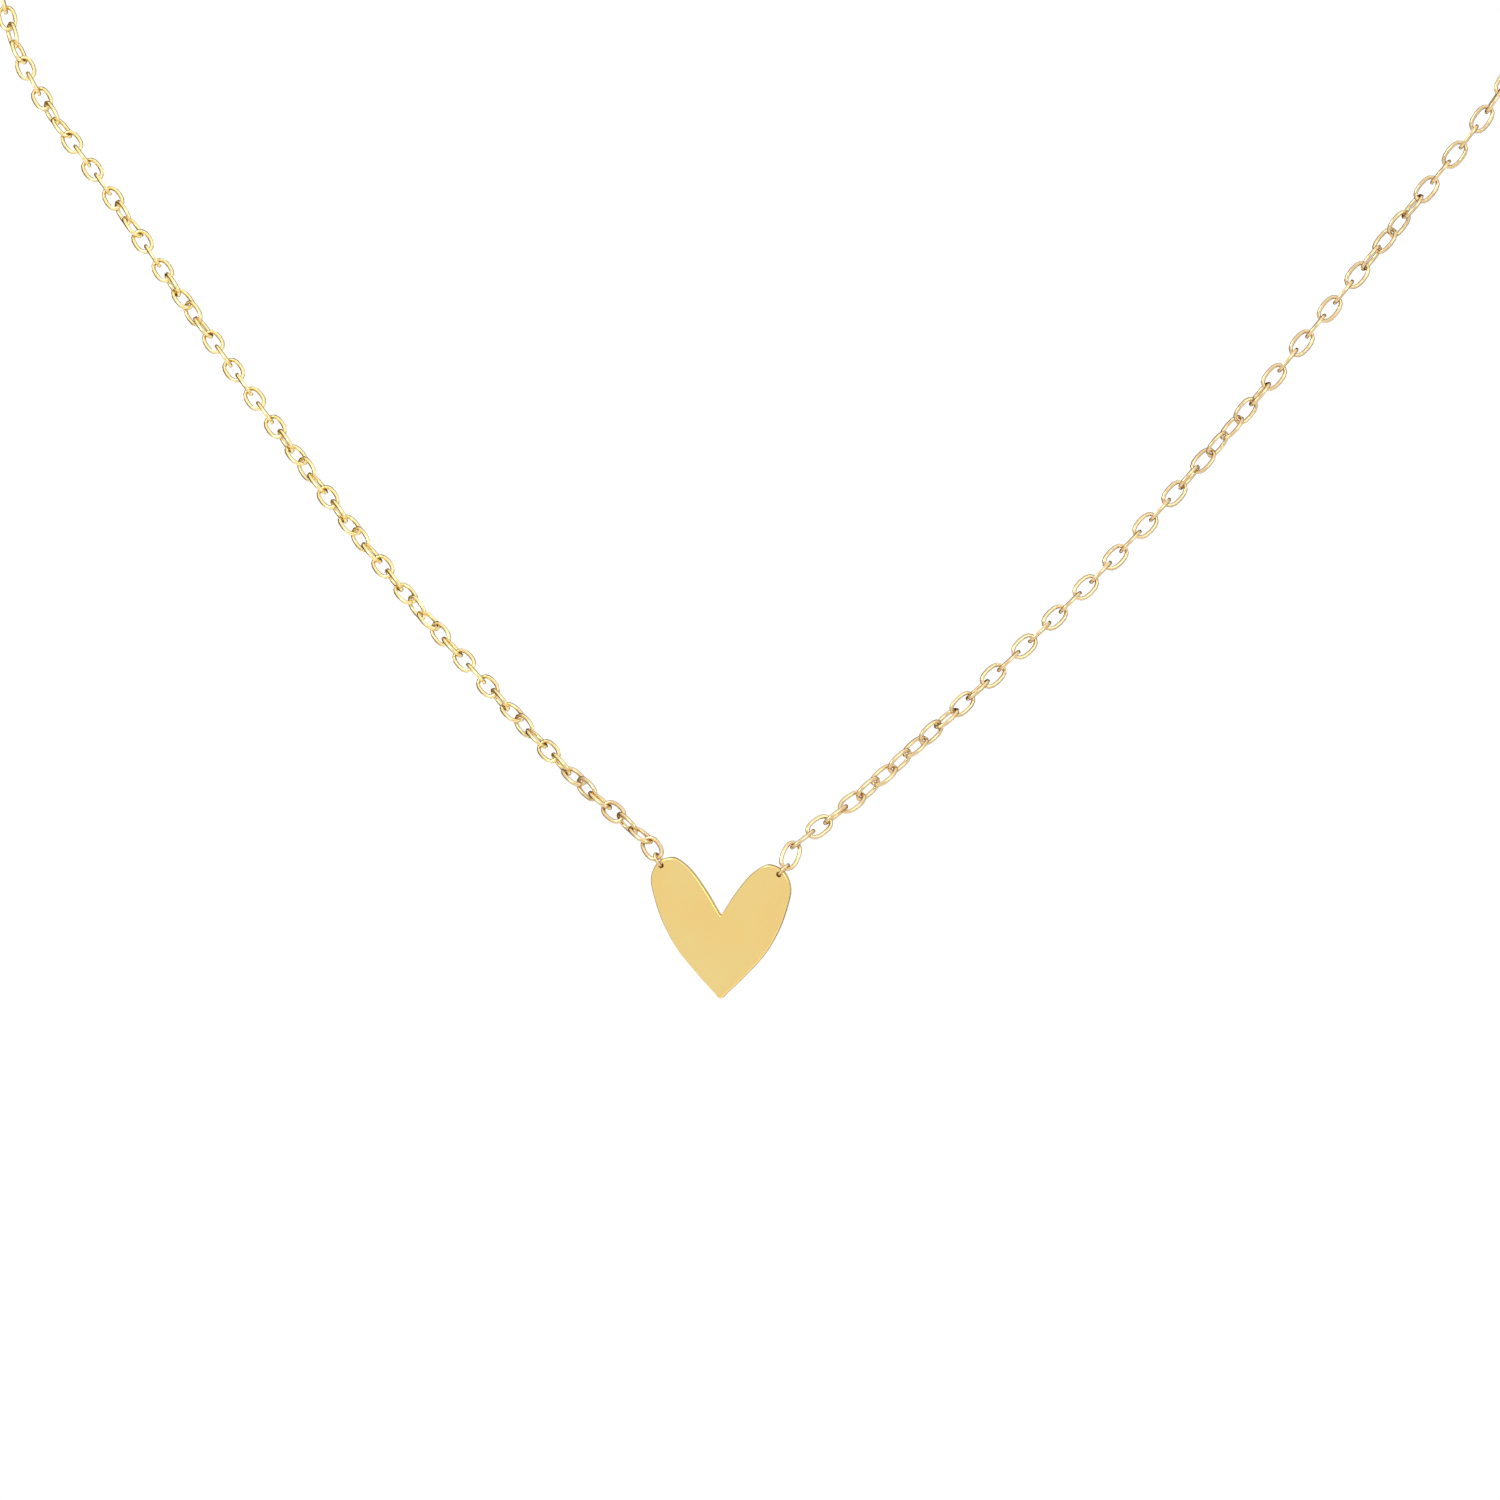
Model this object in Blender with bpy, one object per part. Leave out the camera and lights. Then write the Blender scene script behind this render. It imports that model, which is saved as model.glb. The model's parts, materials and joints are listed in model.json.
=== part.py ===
"""Heart necklace: a polished heart plate held at both lobes in a fine oval-link cable chain.

The necklace has the shape it takes when worn. The origin is at the nape, where the clasp
lies. +X runs to the viewer's right, -Y to the front and +Z up. Lengths are in metres.
"""
import math

import bmesh
import bpy
from mathutils import Matrix, Vector

MM = 0.001
X_AXIS = Vector((1, 0, 0))
Y_AXIS = Vector((0, 1, 0))
Z_AXIS = Vector((0, 0, 1))

# Heart plate, measured from its tip.
HEART_WIDTH = 10.5 * MM
HEART_HEIGHT = 9.92 * MM
HEART_THICKNESS = 0.50 * MM
HEART_EDGE_ROUND = 0.16 * MM
HOLE_RADIUS = 0.205 * MM
HOLE_FROM_SIDE = 0.80 * MM
HOLE_FROM_TOP = 0.58 * MM
# The right half of the rim from the notch to the tip, as shares of half the width and of the height.
HEART_HALF_OUTLINE = ((0, 0.601), (0.210, 0.774), (0.419, 0.913), (0.604, 0.987), (0.733, 1.0),
                      (0.910, 0.956), (0.998, 0.848), (0.966, 0.727), (0.834, 0.530), (0.619, 0.337),
                      (0.314, 0.157), (0.085, 0.038), (0.034, 0.007))
HEART_RIM_STEPS = 3

# Jump rings through the two holes, each leaning outwards with the pull of its strand.
RING_OUTER = 1.18 * MM
RING_WIRE = 0.22 * MM
LEFT_RING_LEAN = 34
RIGHT_RING_LEAN = 40
RING_POINTS = 20

# Oval chain link.
LINK_PITCH = 1.60 * MM
LINK_PLAY = 0.08 * MM
LINK_WIDTH = 1.42 * MM
LINK_WIRE = 0.30 * MM
# How full the oval is: 2 is an ellipse, and more is nearer to a rectangle with round corners.
LINK_FULLNESS = 2.4
LINK_POINTS = 14
LINKS_AT_HEART = 8
LINKS_AT_CLASP = 2
LEFT_LINK_TURNS = (28, 85, 143, 209, 281, 345, 429, 491)
RIGHT_LINK_TURNS = (17, 95, 185, 267, 337, 417, 505, 595)

# The loop round the neck: where the chain turns over the shoulders and how far the heart drops.
NECK_HALF_WIDTH = 63.0 * MM
SHOULDER_DEPTH = 63.0 * MM
SHOULDER_DROP = 40.0 * MM
HEART_SIDE_OFFSET = 17.0 * MM
HEART_DEPTH = 129.0 * MM
HEART_DROP = 109.0 * MM
# The way the first link of each strand points as it leaves the heart's ring.
LEFT_FIRST_LINK = (-0.66, 0.53, 0.53)
RIGHT_FIRST_LINK = (0.18, 0.56, 0.81)
# Each strand's way from the heart to the shoulder, as shares of the distance across, back and up.
LEFT_ROUTE = ((0.143, 0.100, 0.088), (0.398, 0.295, 0.271), (0.728, 0.582, 0.551), (0.906, 0.758, 0.728))
RIGHT_ROUTE = ((0.136, 0.129, 0.100), (0.441, 0.389, 0.331), (0.780, 0.644, 0.654), (0.907, 0.730, 0.788))
# Each strand's way from the shoulder to the clasp, as angles along a quarter turn.
BACK_ROUTE_ANGLES = (18, 36, 54, 72)
ROUTE_STEPS = 24

# Plain tubes that stand for the runs of links between the pieces modelled one by one.
RUNS = {"left_front": 5, "right_front": 4, "left_back": 4, "right_back": 4}
RUN_GAP = 0.25 * MM
RUN_POINT_SPACING = 3.6 * MM

# Lobster clasp: its length runs along X from the eye, and its opening faces up.
CLASP_THICKNESS = 1.40 * MM
CLASP_EDGE_ROUND = 0.16 * MM
EYE_RADIUS = 1.10 * MM
EYE_HOLE_RADIUS = 0.56 * MM
EYE_JOIN_ANGLE = 57
TRUNK_HALF_WIDTH = 1.25 * MM
TRUNK_START = 1.3 * EYE_RADIUS
HOOK_CENTRE = 6.0 * MM
HOOK_OUTER = 2.15 * MM
HOOK_INNER = 1.35 * MM
HOOK_TIP_ANGLE = 62
HOOK_TIP_TAPER = 6
TRUNK_END = HOOK_CENTRE - 1.25 * HOOK_OUTER
MOUTH_WALL = HOOK_CENTRE - 1.02 * HOOK_INNER
MOUTH_WALL_HEIGHT = 0.3 * TRUNK_HALF_WIDTH
MOUTH_WALL_SLOPE = 0.5 * MM
SLOT_WIDTH = 0.70 * MM
SLOT_START = 1.75 * MM
SLOT_FLOOR = -0.55 * MM
LEVER_SIDE_CLEARANCE = 0.05 * MM
LEVER_TIP_GAP_ANGLE = 7
LEVER_TIP_TAPER = 6
LEVER_ARM_END_ANGLE = 132
LEVER_HEEL_ANGLE = 146
LEVER_THICK = 0.55 * MM
PIVOT_ALONG = 2.85 * MM
PIVOT_ACROSS = 0.45 * MM
PIVOT_BOSS_RADIUS = 0.60 * MM
# Where the arm leaves the boss and the corners of the thumb tab, from the pivot.
ARM_ROOT = (1.00 * MM, 0.15 * MM)
THUMB_TAB = ((1.05 * MM, 1.75 * MM), (0.65 * MM, 2.05 * MM), (0.25 * MM, 1.85 * MM), (0.20 * MM, 1.20 * MM))
PIN_RADIUS = 0.24 * MM
PIN_CLEARANCE = 0.03 * MM
PIN_END_INSET = 0.02 * MM
SPRING_THICK = 0.10 * MM
SPRING_FROM_BOSS = 0.12 * MM
SPRING_REACH = 0.75 * MM
SPRING_RISE = 0.62 * MM

# Rings at the clasp.
CLASP_RING_OUTER = 2.80 * MM
CLASP_RING_WIRE = 0.40 * MM
END_RING_OUTER = 3.70 * MM
END_RING_WIRE = 0.50 * MM
END_RING_CLEARANCE = 0.10 * MM

GOLD_PLATE = (0.84, 0.63, 0.24, 1.0)
GOLD_WIRE = (0.86, 0.64, 0.26, 1.0)
GOLD_CAST = (0.80, 0.58, 0.22, 1.0)
SPRING_STEEL = (0.55, 0.54, 0.52, 1.0)
PLATE_ROUGHNESS = 0.18
WIRE_ROUGHNESS = 0.22
CAST_ROUGHNESS = 0.25


def remove_all_objects():
    for old in list(bpy.data.objects):
        bpy.data.objects.remove(old, do_unlink=True)


def metal(name, colour, roughness):
    """A metal finish for one piece."""
    material = bpy.data.materials.new(name)
    material.use_nodes = True
    shader = material.node_tree.nodes["Principled BSDF"]
    shader.inputs["Base Color"].default_value = colour
    shader.inputs["Metallic"].default_value = 1.0
    shader.inputs["Roughness"].default_value = roughness
    return material


def add_object(name, data, matrix, colour, roughness, parent=None):
    """Place a piece, keeping its world position when it hangs from an empty."""
    piece = bpy.data.objects.new(name, data)
    bpy.context.scene.collection.objects.link(piece)
    if data is not None:
        data.materials.append(metal(name + "_finish", colour, roughness))
    if parent is not None:
        piece.parent = parent
        piece.matrix_parent_inverse = parent.matrix_world.inverted()
    piece.matrix_world = matrix
    return piece


def add_axis(name, place):
    """An empty on a joint's axis, from which the pieces of a moving body hang."""
    empty = bpy.data.objects.new(name, None)
    empty.empty_display_size = 2 * MM
    empty.matrix_world = Matrix.Translation(place)
    bpy.context.scene.collection.objects.link(empty)
    bpy.context.view_layer.update()
    return empty


def cut(piece, name, cutter_mesh, matrix):
    """Cut a shape out of a piece."""
    cutter = bpy.data.objects.new(name, cutter_mesh)
    bpy.context.scene.collection.objects.link(cutter)
    cutter.matrix_world = matrix
    cutter.hide_render = True
    cutter.display_type = "WIRE"
    modifier = piece.modifiers.new(name, "BOOLEAN")
    modifier.operation = "DIFFERENCE"
    modifier.solver = "EXACT"
    modifier.object = cutter


def cylinder_mesh(name, radius, length, sides):
    """A closed cylinder about its own Z axis."""
    mesh = bpy.data.meshes.new(name)
    shape = bmesh.new()
    bmesh.ops.create_cone(shape, cap_ends=True, segments=sides, radius1=radius,
                          radius2=radius, depth=length)
    shape.to_mesh(mesh)
    shape.free()
    return mesh


def box_mesh(name, low, high):
    """A closed box between two corners."""
    mesh = bpy.data.meshes.new(name)
    shape = bmesh.new()
    bmesh.ops.create_cube(shape, size=1)
    size = [b - a for a, b in zip(low, high)]
    middle = [(a + b) / 2 for a, b in zip(low, high)]
    bmesh.ops.scale(shape, vec=size, verts=shape.verts)
    bmesh.ops.translate(shape, vec=middle, verts=shape.verts)
    shape.to_mesh(mesh)
    shape.free()
    return mesh


def plate_mesh(name, outline, thickness, rounding, segments):
    """A flat plate in the XZ plane, with its front and back rims rounded over."""
    mesh = bpy.data.meshes.new(name)
    shape = bmesh.new()
    corners = [shape.verts.new((x, -thickness / 2, z)) for x, z in outline]
    front = shape.faces.new(corners)
    back = bmesh.ops.extrude_face_region(shape, geom=[front])["geom"]
    moved = [item for item in back if isinstance(item, bmesh.types.BMVert)]
    bmesh.ops.translate(shape, vec=(0, thickness, 0), verts=moved)
    rims = [edge for edge in shape.edges
            if abs(edge.verts[0].co.y - edge.verts[1].co.y) < thickness / 4]
    if rounding > 0:
        bmesh.ops.bevel(shape, geom=rims, offset=rounding, segments=segments, profile=0.5,
                        affect="EDGES", material=-1, clamp_overlap=True)
    bmesh.ops.recalc_face_normals(shape, faces=shape.faces)
    shape.to_mesh(mesh)
    shape.free()
    mesh.shade_smooth()
    mesh.set_sharp_from_angle(angle=math.radians(35))
    return mesh


def smooth_curve(points, steps):
    """Points along a smooth curve that passes through the given ones."""
    ends = [2 * points[0] - points[1]] + list(points) + [2 * points[-1] - points[-2]]
    curve = []
    for a, b, c, d in zip(ends, ends[1:], ends[2:], ends[3:]):
        for step in range(steps):
            t = step / steps
            curve.append(0.5 * (2 * b + (c - a) * t + (2 * a - 5 * b + 4 * c - d) * t ** 2
                                + (3 * b - a - 3 * c + d) * t ** 3))
    curve.append(points[-1].copy())
    return curve


class Route:
    """A stretch of chain: its curve, measured along its length and divided into whole links."""

    def __init__(self, curve):
        self.curve = curve
        self.marks = [0.0]
        for a, b in zip(curve, curve[1:]):
            self.marks.append(self.marks[-1] + (b - a).length)
        self.length = self.marks[-1]
        self.links = round(self.length / LINK_PITCH)
        self.pitch = self.length / self.links

    def at(self, distance):
        """The point at a distance along the curve."""
        distance = min(max(distance, 0.0), self.length)
        index = 0
        while index < len(self.marks) - 2 and self.marks[index + 1] < distance:
            index += 1
        share = (distance - self.marks[index]) / (self.marks[index + 1] - self.marks[index])
        return self.curve[index].lerp(self.curve[index + 1], share)

    def joint(self, number):
        """Where one link bears on the next."""
        return self.at(number * self.pitch)

    def direction(self, distance):
        step = 0.2 * MM
        return (self.at(distance + step) - self.at(distance - step)).normalized()


def square_to(axis, hint):
    """The unit direction nearest to the hint that is square to the axis."""
    return (hint - hint.dot(axis) * axis).normalized()


def frame_matrix(centre, along, normal):
    """A placement with local X along a piece and local Z square to its flat."""
    across = normal.cross(along)
    columns = Matrix((along, across, normal)).transposed()
    return Matrix.Translation(centre) @ columns.to_4x4()


def add_loop(name, half_length, half_width, fullness, wire, points, matrix, parent=None):
    """A closed loop of round wire, oval or round, flat in its local XY plane."""
    curve = bpy.data.curves.new(name, "CURVE")
    curve.dimensions = "3D"
    curve.bevel_depth = wire / 2
    curve.bevel_resolution = 1
    curve.render_resolution_u = 0
    spline = curve.splines.new("POLY")
    spline.points.add(points - 1)
    spline.use_cyclic_u = True
    for number, point in enumerate(spline.points):
        angle = 2 * math.pi * (number + 0.5) / points
        x, y = math.cos(angle), math.sin(angle)
        x = math.copysign(abs(x) ** (2 / fullness), x) * half_length
        y = math.copysign(abs(y) ** (2 / fullness), y) * half_width
        point.co = (x, y, 0, 1)
    return add_object(name, curve, matrix, GOLD_WIRE, WIRE_ROUGHNESS, parent)


def add_ring(name, outer, wire, matrix, parent=None):
    """A round jump ring."""
    radius = (outer - wire) / 2
    return add_loop(name, radius, radius, 2, wire, RING_POINTS, matrix, parent)


def add_link(name, route, number, normal, parent=None):
    """One oval link between two neighbouring joints of a route."""
    start, end = route.joint(number), route.joint(number + 1)
    along = (end - start).normalized()
    half_length = (route.pitch + LINK_PLAY + LINK_WIRE) / 2
    half_width = (LINK_WIDTH - LINK_WIRE) / 2
    matrix = frame_matrix((start + end) / 2, along, square_to(along, normal))
    return add_loop(name, half_length, half_width, LINK_FULLNESS, LINK_WIRE, LINK_POINTS, matrix, parent)


def add_run(name, route, start, end, parent=None):
    """A plain tube of the chain's outer width along part of a route."""
    count = max(3, round((end - start) / RUN_POINT_SPACING) + 1)
    middle = route.at((start + end) / 2)
    curve = bpy.data.curves.new(name, "CURVE")
    curve.dimensions = "3D"
    curve.bevel_depth = LINK_WIDTH / 2
    curve.bevel_resolution = 2
    curve.render_resolution_u = 0
    curve.use_fill_caps = True
    spline = curve.splines.new("POLY")
    spline.points.add(count - 1)
    for number, point in enumerate(spline.points):
        place = route.at(start + (end - start) * number / (count - 1)) - middle
        point.co = (*place, 1)
    return add_object(name, curve, Matrix.Translation(middle), GOLD_WIRE, WIRE_ROUGHNESS, parent)


def heart_outline():
    """The heart's rim, from the notch over the right lobe to the tip and back up the left."""
    knots = [Vector((x * HEART_WIDTH / 2, z * HEART_HEIGHT)) for x, z in HEART_HALF_OUTLINE]
    half = smooth_curve(knots, HEART_RIM_STEPS)
    tip = [Vector((0, 0))]
    mirrored = [Vector((-p.x, p.y)) for p in reversed(half[1:])]
    return [(p.x, p.y) for p in half + tip + mirrored]


def heart_origin():
    """The heart's tip, at the middle of its thickness."""
    return Vector((HEART_SIDE_OFFSET, -HEART_DEPTH, -HEART_DROP - HEART_HEIGHT / 2))


def hole_place(side):
    """The middle of a lobe's hole."""
    across = side * (HEART_WIDTH / 2 - HOLE_FROM_SIDE)
    return heart_origin() + Vector((across, 0, HEART_HEIGHT - HOLE_FROM_TOP))


def ring_lean(side):
    """The direction from a hole towards its strand, in the plane of the heart."""
    angle = math.radians(LEFT_RING_LEAN if side < 0 else RIGHT_RING_LEAN)
    return Vector((side * math.sin(angle), 0, math.cos(angle)))


def ring_centre(side):
    """The wire sits in the middle of the hole, both at the plate's faces and between them."""
    inner = RING_OUTER / 2 - RING_WIRE
    at_face = math.sqrt(inner ** 2 - (HEART_THICKNESS / 2) ** 2)
    return hole_place(side) + ring_lean(side) * (at_face + RING_OUTER / 2) / 2


def first_direction(side):
    """The way a strand's first link points as it leaves the heart's ring."""
    return Vector(LEFT_FIRST_LINK if side < 0 else RIGHT_FIRST_LINK).normalized()


def strand_start(side):
    """The first link's end lies in the heart's ring, at the point that its pull draws it to."""
    lean, first = ring_lean(side), first_direction(side)
    pull = (lean * first.dot(lean) + Y_AXIS * first.dot(Y_AXIS)).normalized()
    bearing = RING_OUTER / 2 - RING_WIRE - LINK_WIRE / 2 - LINK_PLAY / 2
    return ring_centre(side) + pull * bearing + first * (LINK_WIRE + LINK_PLAY) / 2


def shoulder(side):
    """Where the chain turns over the shoulder, on which the front part swings."""
    return Vector((side * NECK_HALF_WIDTH, -SHOULDER_DEPTH, -SHOULDER_DROP))


def clasp_eye_place():
    """The clasp, its two rings and nothing else fill the space between the chain's ends."""
    return Vector((-(clasp_right_end() + clasp_left_end()) / 2, 0, 0))


def clasp_ring_offset():
    """How far the clasp's own ring lies from the middle of the eye."""
    inner = CLASP_RING_OUTER / 2 - CLASP_RING_WIRE
    at_face = math.sqrt(inner ** 2 - (CLASP_THICKNESS / 2) ** 2)
    return (at_face + CLASP_RING_OUTER / 2) / 2


def end_ring_offset():
    """How far the end ring lies from the middle of the eye when it hangs in the hook."""
    inner = END_RING_OUTER / 2 - END_RING_WIRE
    corner = CLASP_THICKNESS / 2 - CLASP_EDGE_ROUND / 2
    reach = math.sqrt(inner ** 2 - corner ** 2)
    return HOOK_CENTRE + HOOK_INNER - END_RING_CLEARANCE + reach


def clasp_left_end():
    """Where the left chain's last link bears on the clasp's ring, from the eye."""
    return -clasp_ring_offset() - (CLASP_RING_OUTER / 2 - CLASP_RING_WIRE - LINK_PLAY / 2)


def clasp_right_end():
    """Where the right chain's last link bears on the end ring, from the eye."""
    return end_ring_offset() + END_RING_OUTER / 2 - END_RING_WIRE - LINK_PLAY / 2


def chain_end(side):
    """Where a side's last link bears on the clasp's ring or the end ring."""
    if side < 0:
        return clasp_eye_place() + X_AXIS * clasp_left_end()
    return clasp_eye_place() + X_AXIS * clasp_right_end()


def make_routes():
    """Front and back routes of each side; the front ones end exactly on the shoulders."""
    routes = {}
    for word, side, shares in (("left", -1, LEFT_ROUTE), ("right", 1, RIGHT_ROUTE)):
        start, top, end = strand_start(side), shoulder(side), chain_end(side)
        span = top - start
        knots = [start + first_direction(side) * LINK_PITCH]
        knots += [start + Vector((fx * span.x, fy * span.y, fz * span.z)) for fx, fy, fz in shares]
        knots.append(top)
        for angle in BACK_ROUTE_ANGLES:
            turn = math.radians(angle)
            knots.append(Vector((end.x + (top.x - end.x) * math.cos(turn),
                                 top.y * (1 - math.sin(turn)), top.z * (1 - math.sin(turn)))))
        knots.append(end)
        curve = [start] + smooth_curve(knots, ROUTE_STEPS)
        turn_point = 1 + ROUTE_STEPS * (len(shares) + 1)
        routes[word + "_front"] = Route(curve[:turn_point + 1])
        routes[word + "_back"] = Route(curve[turn_point:])
    return routes


def link_normal(route, number, turn):
    """A link's flat, turned about the strand from facing the front."""
    along = route.direction((number + 0.5) * route.pitch)
    return Matrix.Rotation(math.radians(turn), 3, along) @ square_to(along, Y_AXIS)


def make_heart(parent):
    """The heart plate with its two holes."""
    mesh = plate_mesh("heart", heart_outline(), HEART_THICKNESS, HEART_EDGE_ROUND, 2)
    place = Matrix.Translation(heart_origin())
    heart = add_object("heart", mesh, place, GOLD_PLATE, PLATE_ROUGHNESS, parent)
    quarter_turn = Matrix.Rotation(math.pi / 2, 4, "X")
    for word, side in (("left", -1), ("right", 1)):
        bore = cylinder_mesh(word + "_hole_cutter", HOLE_RADIUS, 3 * HEART_THICKNESS, 16)
        cut(heart, word + "_hole_cutter", bore, Matrix.Translation(hole_place(side)) @ quarter_turn)


def make_heart_rings(parent):
    for word, side in (("left", -1), ("right", 1)):
        lean = ring_lean(side)
        matrix = frame_matrix(ring_centre(side), lean, lean.cross(Y_AXIS))
        add_ring(word + "_heart_ring", RING_OUTER, RING_WIRE, matrix, parent)


def make_front_strand(word, route, turns, parent):
    """Links one by one at the heart, then runs, then the link that hinges at the shoulder."""
    for number, turn in enumerate(turns):
        name = f"{word}_link_{number + 1:02d}"
        add_link(name, route, number, link_normal(route, number, turn), parent)
    last = route.links - 1
    add_link(word + "_shoulder_link_front", route, last, X_AXIS, parent)
    make_runs(word + "_front", route, LINKS_AT_HEART, last, parent)


def make_back_strand(word, route):
    """The link that the front strand hinges on, then runs, then links one by one to the clasp."""
    along = route.direction(0.5 * route.pitch)
    add_link(word + "_shoulder_link_back", route, 0, along.cross(X_AXIS))
    first_loose = route.links - LINKS_AT_CLASP
    for number in range(first_loose, route.links):
        from_end = route.links - 1 - number
        normal = Y_AXIS if from_end % 2 == 0 else Z_AXIS
        add_link(f"{word}_back_link_{from_end + 1:02d}", route, number, normal)
    make_runs(word + "_back", route, 1, first_loose, None)


def make_runs(name, route, first, last, parent):
    """Equal tubes between two joints, clear of the real links beyond each end."""
    clear = LINK_WIRE + RUN_GAP
    start = first * route.pitch + clear
    end = last * route.pitch - clear
    count = RUNS[name]
    step = (end - start) / count
    for number in range(count):
        low = start + number * step + (RUN_GAP / 2 if number > 0 else 0)
        high = start + (number + 1) * step - (RUN_GAP / 2 if number < count - 1 else 0)
        add_run(f"{name}_run_{number + 1:02d}", route, low, high, parent)


def on_arc(centre, radius, angle):
    """A point on an arc in the clasp's plane; 0 degrees points along the clasp."""
    turn = math.radians(angle)
    return (centre[0] + radius * math.cos(turn), centre[1] + radius * math.sin(turn))


def arc(centre, radius, start, end, steps):
    """Equally spaced points along an arc."""
    return [on_arc(centre, radius, start + (end - start) * step / steps) for step in range(steps + 1)]


def clasp_outline():
    """Eye, trunk and hook in one outline, with the mouth open on the upper side."""
    hook = (HOOK_CENTRE, 0)
    tip_start = HOOK_TIP_ANGLE - HOOK_TIP_TAPER
    outline = arc((0, 0), EYE_RADIUS, EYE_JOIN_ANGLE, 360 - EYE_JOIN_ANGLE, 12)
    outline.append((TRUNK_START, -TRUNK_HALF_WIDTH))
    outline.append((TRUNK_END, -TRUNK_HALF_WIDTH))
    outline += arc(hook, HOOK_OUTER, -135, tip_start, 16)
    outline.append(on_arc(hook, (HOOK_OUTER + HOOK_INNER) / 2, HOOK_TIP_ANGLE))
    outline += arc(hook, HOOK_INNER, tip_start, -170, 14)
    outline.append((MOUTH_WALL, MOUTH_WALL_HEIGHT))
    outline.append((MOUTH_WALL - MOUTH_WALL_SLOPE, TRUNK_HALF_WIDTH))
    outline.append((TRUNK_START, TRUNK_HALF_WIDTH))
    return outline


def lever_outline():
    """Pivot boss, a curved arm that closes the mouth, and a thumb tab on its outside."""
    hook = (HOOK_CENTRE, 0)
    middle = (HOOK_OUTER + HOOK_INNER) / 2
    tip = HOOK_TIP_ANGLE + LEVER_TIP_GAP_ANGLE
    outline = arc((PIVOT_ALONG, PIVOT_ACROSS), PIVOT_BOSS_RADIUS, 150, 330, 8)
    outline.append((PIVOT_ALONG + ARM_ROOT[0], PIVOT_ACROSS + ARM_ROOT[1]))
    outline += arc(hook, middle - LEVER_THICK / 2, LEVER_HEEL_ANGLE, tip, 6)
    outline += arc(hook, middle + LEVER_THICK / 2, tip + LEVER_TIP_TAPER, LEVER_ARM_END_ANGLE, 6)
    outline += [(PIVOT_ALONG + x, PIVOT_ACROSS + z) for x, z in THUMB_TAB]
    return outline


def spring_outline():
    """A bent leaf between the slot's floor and the lever's arm."""
    floor = SLOT_FLOOR + SPRING_THICK
    start = PIVOT_ALONG + PIVOT_BOSS_RADIUS + SPRING_FROM_BOSS
    end = start + SPRING_REACH
    top = floor + SPRING_RISE
    return [(start, floor), (end, floor), (end, floor + SPRING_THICK),
            (start + 2 * SPRING_THICK, floor + SPRING_THICK), (end, top),
            (end - SPRING_THICK, top + SPRING_THICK), (start, floor + 2 * SPRING_THICK)]


def make_clasp():
    """Lobster clasp: cast body, riveted lever and the leaf that pushes the lever shut."""
    eye = clasp_eye_place()
    place = Matrix.Translation(eye)
    pivot = eye + Vector((PIVOT_ALONG, 0, PIVOT_ACROSS))
    quarter_turn = Matrix.Rotation(math.pi / 2, 4, "X")
    roll = add_axis("clasp_axis", Vector((0, 0, 0)))
    body_mesh = plate_mesh("clasp_body", clasp_outline(), CLASP_THICKNESS, CLASP_EDGE_ROUND, 1)
    body = add_object("clasp_body", body_mesh, place, GOLD_CAST, CAST_ROUGHNESS, roll)
    eye_hole = cylinder_mesh("eye_cutter", EYE_HOLE_RADIUS, 3 * CLASP_THICKNESS, 16)
    cut(body, "eye_cutter", eye_hole, place @ quarter_turn)
    slot = box_mesh("slot_cutter", (SLOT_START, -SLOT_WIDTH / 2, SLOT_FLOOR),
                    (HOOK_CENTRE, SLOT_WIDTH / 2, 2 * TRUNK_HALF_WIDTH))
    cut(body, "slot_cutter", slot, place)
    pin_hole = cylinder_mesh("pin_hole_cutter", PIN_RADIUS + PIN_CLEARANCE, 3 * CLASP_THICKNESS, 12)
    cut(body, "pin_hole_cutter", pin_hole, Matrix.Translation(pivot) @ quarter_turn)

    lever_width = SLOT_WIDTH - 2 * LEVER_SIDE_CLEARANCE
    shape = [(x - PIVOT_ALONG, z - PIVOT_ACROSS) for x, z in lever_outline()]
    lever_mesh = plate_mesh("clasp_lever", shape, lever_width, 0, 1)
    lever_place = Matrix.Translation(pivot)
    lever = add_object("clasp_lever", lever_mesh, lever_place, GOLD_CAST, CAST_ROUGHNESS, roll)
    lever_hole = cylinder_mesh("lever_hole_cutter", PIN_RADIUS + PIN_CLEARANCE,
                               3 * CLASP_THICKNESS, 12)
    cut(lever, "lever_hole_cutter", lever_hole, lever_place @ quarter_turn)

    pin_mesh = cylinder_mesh("clasp_pin", PIN_RADIUS, CLASP_THICKNESS - 2 * PIN_END_INSET, 12)
    add_object("clasp_pin", pin_mesh, lever_place @ quarter_turn, GOLD_CAST, CAST_ROUGHNESS, roll)
    spring_width = SLOT_WIDTH - 4 * LEVER_SIDE_CLEARANCE
    spring_mesh = plate_mesh("clasp_spring", spring_outline(), spring_width, 0, 1)
    add_object("clasp_spring", spring_mesh, place, SPRING_STEEL, CAST_ROUGHNESS, roll)


def make_clasp_rings():
    """The ring in the clasp's eye and the larger ring that the hook catches."""
    eye = clasp_eye_place()
    near = frame_matrix(eye - X_AXIS * clasp_ring_offset(), X_AXIS, Z_AXIS)
    add_ring("clasp_ring", CLASP_RING_OUTER, CLASP_RING_WIRE, near)
    far = frame_matrix(eye + X_AXIS * end_ring_offset(), X_AXIS, Z_AXIS)
    add_ring("end_ring", END_RING_OUTER, END_RING_WIRE, far)


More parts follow.
